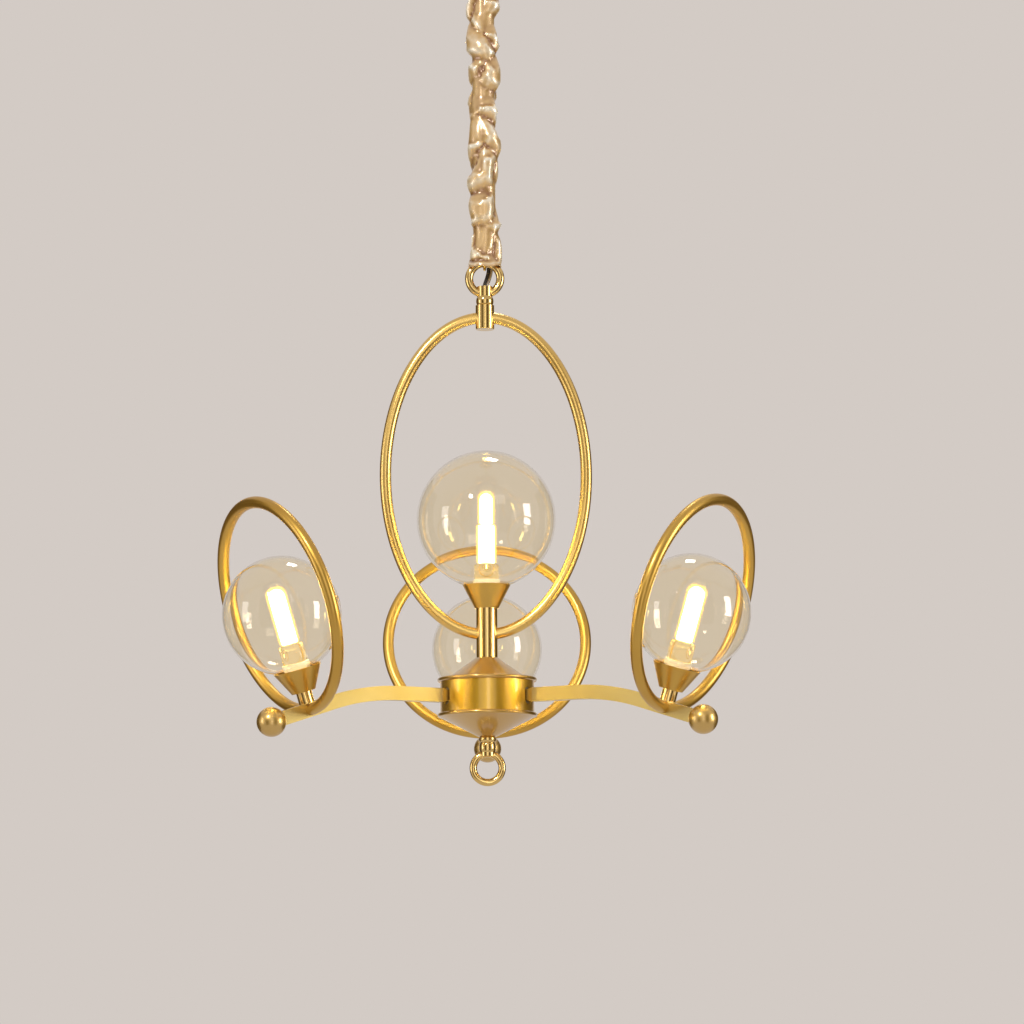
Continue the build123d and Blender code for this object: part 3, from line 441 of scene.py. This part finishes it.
for lamp, heights in BULB_HEIGHTS.items():
    base_top = CUP_TOP + heights["base"]
    column_top = base_top + heights["column"]
    has_tip = heights["tip"] > 0
    profile = base_profile(SOCKET_TOP, base_top)
    base = lathe(f"bulb_base_{lamp}", profile, lamp, clear_base, BULB_SEGMENTS)
    base.visible_shadow = False
    pieces = [base]
    columns = [("column", COLUMN_RADIUS, base_top + RUNNING_GAP, column_top, has_tip)]
    if has_tip:
        tip_top = column_top + heights["tip"]
        columns.append(("tip", TIP_RADIUS, column_top + TIP_GAP, tip_top, False))
    for part, radius, foot, top, flat_top in columns:
        profile = column_profile(radius, foot, top, flat_top)
        pieces.append(lathe(f"bulb_{part}_{lamp}", profile, lamp, lit, BULB_SEGMENTS))
        for layer, (gap, finish) in enumerate(SHEATHS, start=1):
            lift = RUNNING_GAP * layer if flat_top else gap
            outer = sheath_profile(profile, top - radius, gap, lift)
            name = f"bulb_sheath_{layer}_{part}_{lamp}"
            sheath = lathe(name, outer, lamp, finish, BULB_SEGMENTS)
            sheath.visible_shadow = False
            pieces.append(sheath)
    for piece in pieces:
        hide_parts(f"bulb_{lamp}")
        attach(piece, "fixture")

# Satin sleeve: a seamless tube of cloth, gathered on the chain by a small cloth simulation

SLEEVE_BOTTOM, SLEEVE_TOP = (corner[2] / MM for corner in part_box("chain_sleeve"))
SLEEVE_LENGTH = SLEEVE_TOP - SLEEVE_BOTTOM
CLOTH_AROUND = 92.0
CLOTH_LENGTH = 296.0
CLOTH_COLUMNS = 32
CLOTH_ROWS = 96
CLOTH_STEPS = 240
CLOTH_PASSES = 4
CLOTH_WEIGHT = 0.006
CLOTH_DRIFT = 0.9
SETTLE_SHARE = 0.3
EASE_SHARE = 0.3
HEM_DROOP = 2.2
HEM_WAVE = 0.7
HEM_WAVES = 5
HEM_REACH = 20.0
CHAIN_CLEAR = 9.7
MOUTH_CLEAR = 13.9
MOUTH_RADIUS = 15.3
MOUTH_DEPTH = 9.0

# Ties between points so many rows and columns apart, with their stiffness
THREADS = ((0, 1, 1.0), (1, 0, 1.0), (1, 1, 0.5), (1, -1, 0.5))

# Reach, stiffness and share of the rest length of the ties that keep the cloth from folding up
STIFFENERS = ((3, 0.4, 0.97), (6, 0.3, 0.9))
SLANT_SHARE = 0.7

# The ripple that the cloth starts with, a sum of random waves
RIPPLE_SEED = 5
RIPPLE_WAVES = 40
RIPPLE_HEIGHT = 0.5
RIPPLES_ALONG = (3, 22)
RIPPLES_AROUND = (-4, 5)
START_GAP = 0.4

# Puffs: bulges of the cloth in leaning cells, steeper on their lower side
PUFF_SEED = 3
PUFF_LEVELS = 8
PUFFS_AROUND = 2
PUFF_LOW = 9.9
PUFF_HIGH = 18.0
PUFF_FULLNESS = (0.85, 1.0)
PUFF_LEAN = 0.8
LEAN_SHARES = (0.5, 1.0)
PUFF_STRETCH = 2.4
PUFF_SCATTER = 5.0
TURN_SCATTER = 0.3
PUFF_UPPER_SIDE = 15.0
PUFF_LOWER_SIDE = 8.0
PUFF_SWAY = 2.0
SWAY_LENGTH = 75.0
LIMIT_SLACK = 0.2
LIMIT_LEVELS = 500
LIMIT_TURNS = 180

# Painted crease shade and painted ridge highlight in the satin's colour: reach in grid points, depth in
# millimetres
FOLD_REACH = 6
FOLD_DEPTH = 1.25


def mouth_share(z):
    """0 at either end of the sleeve, 1 past the depth of its mouth."""
    return np.clip(np.minimum(SLEEVE_TOP - z, z - SLEEVE_BOTTOM) / MOUTH_DEPTH, 0, 1)


def inner_limit(z):
    """The room that the chain and the loops need."""
    return MOUTH_CLEAR + (CHAIN_CLEAR - MOUTH_CLEAR) * mouth_share(z)


def puff_cells():
    """Level, angle, lean and fullness of each puff's middle."""
    draw = np.random.default_rng(PUFF_SEED)
    cells = []
    for level in range(PUFF_LEVELS + 2):
        first = draw.uniform(0, FULL_TURN)
        for k in range(PUFFS_AROUND):
            z = SLEEVE_TOP - (level - 0.5) * SLEEVE_LENGTH / PUFF_LEVELS
            z += draw.uniform(-PUFF_SCATTER, PUFF_SCATTER)
            angle = first + FULL_TURN * k / PUFFS_AROUND
            angle += draw.uniform(-TURN_SCATTER, TURN_SCATTER)
            lean = PUFF_LEAN * draw.choice((-1, 1)) * draw.uniform(*LEAN_SHARES)
            cells.append((z, angle, lean, draw.uniform(*PUFF_FULLNESS)))
    return cells


def limit_table():
    """How far the cloth may swell, by level and angle: cells rise from their borders to ridges."""
    z = np.linspace(SLEEVE_TOP, SLEEVE_BOTTOM, LIMIT_LEVELS)[:, None] + np.zeros((1, LIMIT_TURNS))
    angle = np.arange(LIMIT_TURNS)[None, :] / LIMIT_TURNS * FULL_TURN + np.zeros((LIMIT_LEVELS, 1))
    cells = puff_cells()
    mean_radius = (CHAIN_CLEAR + PUFF_HIGH) / 2
    distances = []
    for cell_z, cell_angle, lean, _ in cells:
        across = mean_radius * (np.mod(angle - cell_angle + np.pi, FULL_TURN) - np.pi)
        along = z - cell_z
        wide = (math.cos(lean) * across + math.sin(lean) * along) / PUFF_STRETCH
        distances.append(np.hypot(wide, math.cos(lean) * along - math.sin(lean) * across))
    nearest, second = np.argsort(distances, axis=0)[:2]
    ranked = np.sort(distances, axis=0)
    levels = np.array([cell[0] for cell in cells])
    fullness = np.array([cell[3] for cell in cells])
    side = np.where(levels[second] < levels[nearest], PUFF_LOWER_SIDE, PUFF_UPPER_SIDE)
    rise = np.clip((ranked[1] - ranked[0]) / 2 / side, 0, 1)
    radius = PUFF_LOW + (PUFF_HIGH * fullness[nearest] - PUFF_LOW) * rise
    radius += PUFF_SWAY * np.cos(angle - FULL_TURN * (SLEEVE_TOP - z) / SWAY_LENGTH)
    radius = MOUTH_RADIUS + (np.minimum(radius, MOUTH_RADIUS) - MOUTH_RADIUS) * mouth_share(z)
    return np.maximum(radius, inner_limit(z) + LIMIT_SLACK)


swell_limits = limit_table()


def outer_limit(z, angle):
    """How far the cloth may swell at a level and angle."""
    level = np.rint((SLEEVE_TOP - z) / SLEEVE_LENGTH * (LIMIT_LEVELS - 1)).astype(int)
    turn = np.rint(angle / FULL_TURN * LIMIT_TURNS).astype(int)
    return swell_limits[np.clip(level, 0, LIMIT_LEVELS - 1), turn % LIMIT_TURNS]


def cloth_ties():
    """Steps between tied points, rest lengths, stiffness, and whether a tie only pushes apart."""
    across, along = CLOTH_AROUND / CLOTH_COLUMNS, CLOTH_LENGTH / (CLOTH_ROWS - 1)
    ties = [(i, j, math.hypot(i * along, j * across), stiff, False) for i, j, stiff in THREADS]
    for reach, stiff, share in STIFFENERS:
        slant = round(reach * SLANT_SHARE)
        for i, j in ((0, reach), (reach, 0), (slant, slant), (slant, -slant)):
            ties.append((i, j, math.hypot(i * along, j * across) * share, stiff, True))
    return ties


def settle(cloth, ties):
    """One pass that pulls the tied points of the cloth towards their rest lengths."""
    shift = np.zeros_like(cloth)
    rows = len(cloth)
    for i, j, rest, stiff, pushes in ties:
        apart = np.roll(cloth, -j, axis=1)[i:] - cloth[: rows - i]
        length = np.sqrt((apart * apart).sum(-1)) + TINY
        excess = length - rest
        if pushes:
            excess = np.minimum(excess, 0)
        pull = (stiff * 0.5 * excess / length)[..., None] * apart
        shift[: rows - i] += pull
        shift[i:] -= np.roll(pull, j, axis=1)
    return cloth + shift * SETTLE_SHARE


def keep_round(cloth):
    """Keeps the cloth between the chain and its outer limit, with both ends at their level."""
    cloth[..., 2] = np.clip(cloth[..., 2], SLEEVE_BOTTOM, SLEEVE_TOP)
    cloth[0, :, 2] = SLEEVE_TOP
    cloth[-1, :, 2] = SLEEVE_BOTTOM
    z = cloth[..., 2]
    radius = np.hypot(cloth[..., 0], cloth[..., 1]) + TINY
    angle = np.arctan2(cloth[..., 1], cloth[..., 0])
    held = np.clip(radius, inner_limit(z), outer_limit(z, angle))
    cloth[..., :2] *= (held / radius)[..., None]


def gathered_cloth():
    """The sleeve's points, a row for each ring of the tube, in millimetres."""
    draw = np.random.default_rng(RIPPLE_SEED)
    down = np.linspace(0, 1, CLOTH_ROWS)[:, None]
    turn = np.arange(CLOTH_COLUMNS)[None, :] / CLOTH_COLUMNS * FULL_TURN
    ripple = np.zeros((CLOTH_ROWS, CLOTH_COLUMNS))
    for _ in range(RIPPLE_WAVES):
        along, around = draw.uniform(*RIPPLES_ALONG), draw.integers(*RIPPLES_AROUND)
        phase = draw.uniform(0, FULL_TURN)
        ripple += np.cos(FULL_TURN * along * down + around * turn + phase)
    ripple *= RIPPLE_HEIGHT / math.sqrt(RIPPLE_WAVES)
    z = SLEEVE_TOP + (SLEEVE_BOTTOM - SLEEVE_TOP) * down + 0 * turn
    radius = outer_limit(z, turn + 0 * down) - START_GAP + ripple
    cloth = np.stack([radius * np.cos(turn), radius * np.sin(turn), z + ripple], -1)
    keep_round(cloth)
    ties = cloth_ties()
    before = cloth.copy()
    for _ in range(CLOTH_STEPS):
        drift = (cloth - before) * CLOTH_DRIFT
        before = cloth.copy()
        cloth = cloth + drift
        cloth[..., 2] -= CLOTH_WEIGHT
        for _ in range(CLOTH_PASSES):
            cloth = settle(cloth, ties)
            keep_round(cloth)
    return cloth


def eased(cloth):
    """The cloth with the zigzags between neighbouring points eased by a share."""
    around = (np.roll(cloth, 1, axis=1) + 2 * cloth + np.roll(cloth, -1, axis=1)) / 4
    inside = (around[:-2] + 2 * around[1:-1] + around[2:]) / 4
    return cloth + EASE_SHARE * (np.concatenate([around[:1], inside, around[-1:]]) - cloth)


def drooping_hem(cloth):
    """The cloth with its lower hem hanging lower in front and a little wavy."""
    angle = np.arctan2(cloth[..., 1], cloth[..., 0])
    drop = HEM_DROOP * -np.sin(angle) + HEM_WAVE * np.cos(HEM_WAVES * angle)
    share = np.clip(1 - (cloth[..., 2] - SLEEVE_BOTTOM) / HEM_REACH, 0, 1) ** 2
    cloth = cloth.copy()
    cloth[..., 2] -= drop * share
    return cloth


def doubled(points, axis, closed):
    """A grid with a point added between each two, on a cubic through their neighbours."""
    points = np.moveaxis(points, axis, 0)
    if closed:
        ahead, further, behind = (np.roll(points, -s, axis=0) for s in (1, 2, -1))
        middle = (9 * (points + ahead) - behind - further) / 16
        both = np.stack([points, middle], 1).reshape(-1, *points.shape[1:])
    else:
        before, after = 2 * points[:1] - points[1:2], 2 * points[-1:] - points[-2:-1]
        padded = np.concatenate([before, points, after])
        middle = (9 * (padded[1:-2] + padded[2:-1]) - padded[:-3] - padded[3:]) / 16
        both = np.empty((2 * len(points) - 1, *points.shape[1:]))
        both[0::2] = points
        both[1::2] = middle
    return np.moveaxis(both, 0, axis)


def grid_normals(points):
    """Vertex normals of a tube given as rings, pointing outward."""
    along = np.gradient(points, axis=0)
    around = np.roll(points, -1, axis=1) - np.roll(points, 1, axis=1)
    normals = np.cross(around, -along)
    return normals / (np.linalg.norm(normals, axis=-1, keepdims=True) + TINY)


def fold_heights(points):
    """How far each point stands out from the cloth around it: 0 in a crease, 1 on a ridge; this sets the satin's
    painted shade and painted highlight.
    """
    radius = np.hypot(points[..., 0], points[..., 1])
    around = radius
    for axis in (0, 1):
        shifts = range(-FOLD_REACH, FOLD_REACH + 1)
        around = np.mean([np.roll(around, shift, axis=axis) for shift in shifts], axis=0)
    return np.clip(0.5 + (radius - around) / (2 * FOLD_DEPTH), 0, 1)


def span_limits():
    """Levels of the middles between neighbouring pivots, where the chain's spans meet."""
    return [(low + high) / 2 for low, high in zip(PIVOTS, PIVOTS[1:])]


def bend_at(obj):
    """Bakes a piece of one span of the chain into world space."""
    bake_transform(obj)


def tube_faces(rings, sides):
    """Faces between rings of points, each of as many sides."""
    faces = []
    for low in range(0, (rings - 1) * sides, sides):
        high = low + sides
        for i in range(sides):
            j = (i + 1) % sides
            faces.append((low + i, high + i, high + j, low + j))
    return faces


cloth = drooping_hem(eased(gathered_cloth()))
for _ in range(2):
    cloth = doubled(doubled(cloth, 0, False), 1, True)
cloth_normals = grid_normals(cloth)
fold_shading = fold_heights(cloth)
rows, columns = cloth.shape[:2]
cuts = [int(np.argmin(np.abs(cloth[..., 2] - level).max(axis=1))) for level in span_limits()]
for number, (first, last) in enumerate(zip([0] + cuts, cuts + [rows - 1])):
    span = slice(first, last + 1)
    points = cloth[span].reshape(-1, 3).tolist()
    faces = tube_faces(last + 1 - first, columns)
    piece = add_mesh(f"satin_span_{number + 1}", points, faces, satin)
    normals = cloth_normals[span].reshape(-1, 3).tolist()
    piece.data.normals_split_custom_set_from_vertices(normals)
    # The satin's painted crease shade and painted ridge highlight, carried as a point attribute.
    layer = piece.data.attributes.new(FOLD_SHADE_LAYER, "FLOAT", "POINT")
    layer.data.foreach_set("value", fold_shading[span].ravel())
    bend_at(piece)
    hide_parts("chain_sleeve")

# Flat twin cable, laced beside the chain from the canopy to the fixture

CABLE_SIDE = (4.5, 5.35)
CABLE_ROUTE = (
    [(0, 0, z) for z in (-11.0, -36.0, -42.0)]
    + [(*CABLE_SIDE, z) for z in (-55.5, -62.0, -185.0, -308.0, -314.3)]
    + [(0, 0, z) for z in (-327.8, -334.0, -353.1)]
)
ROUTE_ORDER = 3
ROUTE_STEPS = 40
CORE_RADIUS = 1.4
CORE_PITCH = 2.6
CORE_SIDES = 20
CORES = (("dark", -CORE_PITCH / 2, core_dark), ("clear", CORE_PITCH / 2, core_silver))


def smooth_route(points):
    """Points of the smooth curve that a route's points control."""
    curve = bpy.data.curves.new("route", "CURVE")
    curve.dimensions = "3D"
    spline = curve.splines.new("NURBS")
    spline.points.add(len(points) - 1)
    for knot, point in zip(spline.points, points):
        knot.co = (*point, 1)
    spline.order_u = ROUTE_ORDER
    spline.use_endpoint_u = True
    spline.resolution_u = ROUTE_STEPS
    holder = bpy.data.objects.new("route", curve)
    scene.collection.objects.link(holder)
    mesh = bpy.data.meshes.new_from_object(holder)
    route = [v.co.copy() for v in mesh.vertices]
    bpy.data.objects.remove(holder)
    bpy.data.meshes.remove(mesh)
    bpy.data.curves.remove(curve)
    return route


def core_rings(route, offset):
    """Rings of one core of the cable, beside the route's middle line."""
    angles = [FULL_TURN * s / CORE_SIDES for s in range(CORE_SIDES)]
    rings = []
    for i, point in enumerate(route):
        ahead = (route[min(i + 1, len(route) - 1)] - route[max(i - 1, 0)]).normalized()
        deep = ahead.cross(Vector((1, 0, 0))).normalized()
        side = deep.cross(ahead)
        middle = point + side * offset
        outs = [side * math.cos(a) + deep * math.sin(a) for a in angles]
        rings.append([middle + out * CORE_RADIUS for out in outs])
    return rings


route = smooth_route(CABLE_ROUTE)
levels = np.array([point.z for point in route])
cuts = [int(np.argmin(np.abs(levels - level))) for level in span_limits()]
for number, (first, last) in enumerate(zip([0] + cuts, cuts + [len(route) - 1])):
    for core, offset, finish in CORES:
        rings = core_rings(route, offset)[first:last + 1]
        points = [point for ring in rings for point in ring]
        faces = tube_faces(len(rings), CORE_SIDES)
        piece = add_mesh(f"cable_{core}_{number + 1}", points, faces, finish)
        bend_at(piece)
        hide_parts("supply_cable")

# Camera at the photograph's viewing angle

FOCAL_PX = 3958.85
FRAME_PX = 1024
HUB_POINT = Vector((0, 0, -0.7079))
HUB_PX = (485.9, 722.75)
DISTANCE = 3.405
ELEVATION = math.radians(4.717)
ROLL = math.radians(-0.407)
SENSOR_WIDTH = 36.0
CLIP_END = 60.0
camera_data = bpy.data.cameras.new("camera")
camera = bpy.data.objects.new("camera", camera_data)
scene.collection.objects.link(camera)
camera_data.sensor_width = SENSOR_WIDTH
camera_data.lens = FOCAL_PX / FRAME_PX * SENSOR_WIDTH
camera_data.clip_end = CLIP_END
back = Vector((0, -math.cos(ELEVATION), -math.sin(ELEVATION)))
camera.location = HUB_POINT + back * DISTANCE
rise = ELEVATION + math.atan((HUB_PX[1] - FRAME_PX / 2) / FOCAL_PX)
swing = math.atan((FRAME_PX / 2 - HUB_PX[0]) / FOCAL_PX)
level_ahead = math.cos(rise)
ahead = Vector((math.sin(swing) * level_ahead, math.cos(swing) * level_ahead, math.sin(rise)))
turn = ahead.to_track_quat("-Z", "Y").to_matrix() @ Matrix.Rotation(ROLL, 3, "Z")
camera.rotation_euler = turn.to_euler()
scene.camera = camera

# Floor and world: one plain pale surround

FLOOR_Z = -2.3
FLOOR_RADIUS = 25.0
FLOOR_SEGMENTS = 96
SURROUND_SHARE = 0.9
AMBIENT_COLOUR = (0.97, 0.97, 1.0, 1)
AMBIENT_STRENGTH = 0.42


def seen_factor(tree_nodes, links):
    """1 for what the camera sees, straight, in a mirror or through glass."""
    path = tree_nodes.new("ShaderNodeLightPath")
    factor = path.outputs["Is Camera Ray"]
    for kind in ("Is Glossy Ray", "Is Transmission Ray"):
        larger = tree_nodes.new("ShaderNodeMath")
        larger.operation = "MAXIMUM"
        links.new(factor, larger.inputs[0])
        links.new(path.outputs[kind], larger.inputs[1])
        factor = larger.outputs[0]
    return factor


def make_floor():
    """A pale floor that looks like the surround, and keeps a share of its own shade."""
    material, n, links, shader = new_material("pale_floor")
    set_inputs(shader, {"Base Color": (0.9, 0.88, 0.85, 1), "Roughness": 0.9})
    surround = n.new("ShaderNodeEmission")
    set_inputs(surround, {"Color": BACKGROUND})
    share = n.new("ShaderNodeMath")
    share.operation = "MULTIPLY"
    share.inputs[1].default_value = SURROUND_SHARE
    links.new(seen_factor(n, links), share.inputs[0])
    mix = n.new("ShaderNodeMixShader")
    links.new(share.outputs[0], mix.inputs["Fac"])
    links.new(shader.outputs["BSDF"], mix.inputs[1])
    links.new(surround.outputs["Emission"], mix.inputs[2])
    links.new(mix.outputs["Shader"], n["Material Output"].inputs["Surface"])
    return material


floor_mesh = bpy.data.meshes.new("floor")
disc = bmesh.new()
bmesh.ops.create_circle(disc, cap_ends=True, radius=FLOOR_RADIUS, segments=FLOOR_SEGMENTS)
disc.to_mesh(floor_mesh)
disc.free()
floor_mesh.materials.append(make_floor())
floor = bpy.data.objects.new("floor", floor_mesh)
floor.location = (0, 0, FLOOR_Z)
scene.collection.objects.link(floor)

world = bpy.data.worlds.new("studio")
scene.world = world
world.use_nodes = True
world_nodes, world_links = world.node_tree.nodes, world.node_tree.links
ambient = world_nodes["Background"]
set_inputs(ambient, {"Color": AMBIENT_COLOUR, "Strength": AMBIENT_STRENGTH})
surround = world_nodes.new("ShaderNodeBackground")
set_inputs(surround, {"Color": BACKGROUND})
world_mix = world_nodes.new("ShaderNodeMixShader")
world_links.new(seen_factor(world_nodes, world_links), world_mix.inputs["Fac"])
world_links.new(ambient.outputs["Background"], world_mix.inputs[1])
world_links.new(surround.outputs["Background"], world_mix.inputs[2])
world_links.new(world_mix.outputs["Shader"], world_nodes["World Output"].inputs["Surface"])
scene.view_settings.view_transform = "Standard"

# Studio light: soft boxes, and cards that are seen only in what metal and glass reflect

LIGHT_TARGET = Vector((0, 0, -0.55))
LIGHT_COLOUR = (1, 0.98, 0.95)
STUDIO_RADIUS = 2.6
PALE_CARD = (2.2, 2.1, 1.95, 1)
DARK_CARD = (0.12, 0.085, 0.04, 1)


def studio_place(azimuth, rise):
    """A place in the studio by degrees round from the camera's side and height above the target."""
    turn = math.radians(azimuth)
    out = Vector((math.sin(turn) * STUDIO_RADIUS, -math.cos(turn) * STUDIO_RADIUS, rise))
    return LIGHT_TARGET + out


def aim(obj, place):
    """Puts an object in the scene at a place, facing the target."""
    obj.location = place
    obj.rotation_euler = (LIGHT_TARGET - place).to_track_quat("-Z", "Y").to_euler()
    scene.collection.objects.link(obj)


def softbox(name, place, width, height, radiance, mirrored=True):
    """A rectangular light of a given radiance, which metal and glass mirror or don't."""
    data = bpy.data.lights.new(name, "AREA")
    data.shape = "RECTANGLE"
    data.size = width
    data.size_y = height
    data.energy = radiance * math.pi * width * height
    data.color = LIGHT_COLOUR
    obj = bpy.data.objects.new(name, data)
    aim(obj, place)
    obj.visible_glossy = mirrored


def card(name, azimuth, width, height, colour):
    """A card beside the set, seen only in what metal and glass reflect."""
    material, _, _, shader = new_material(name)
    set_inputs(shader, {
        "Base Color": (0, 0, 0, 1), "Specular IOR Level": 0.0,
        "Emission Color": colour, "Emission Strength": 1.0,
    })
    mesh = bpy.data.meshes.new(name)
    signs = ((-1, -1), (1, -1), (1, 1), (-1, 1))
    corners = [(x * width / 2, y * height / 2, 0) for x, y in signs]
    mesh.from_pydata(corners, [], [(0, 1, 2, 3)])
    mesh.materials.append(material)
    obj = bpy.data.objects.new(name, mesh)
    aim(obj, studio_place(azimuth, rise=0.0))
    obj.visible_camera = False
    obj.visible_diffuse = False
    obj.visible_transmission = False
    obj.visible_shadow = False


softbox("window_left", studio_place(-72, rise=0.1), width=0.6, height=1.3, radiance=3.0)
softbox("window_right", studio_place(72, rise=0.25), width=0.6, height=1.3, radiance=9.0)
softbox("top_light", Vector((0.2, 0.9, 1.7)), width=0.4, height=0.4, radiance=14.0)
softbox("key_light", studio_place(-28, rise=1.6), width=0.28, height=0.28, radiance=120.0)
softbox(
    "front_fill", studio_place(25, rise=1.3), width=0.8, height=0.8, radiance=2.0, mirrored=False,
)
card("front_card", azimuth=3, width=0.35, height=2.4, colour=PALE_CARD)
for side in (-1, 1):
    card(f"side_card_{side}", azimuth=side * 32, width=1.0, height=2.6, colour=DARK_CARD)
    card(f"rear_card_{side}", azimuth=side * 125, width=2.6, height=3.0, colour=DARK_CARD)
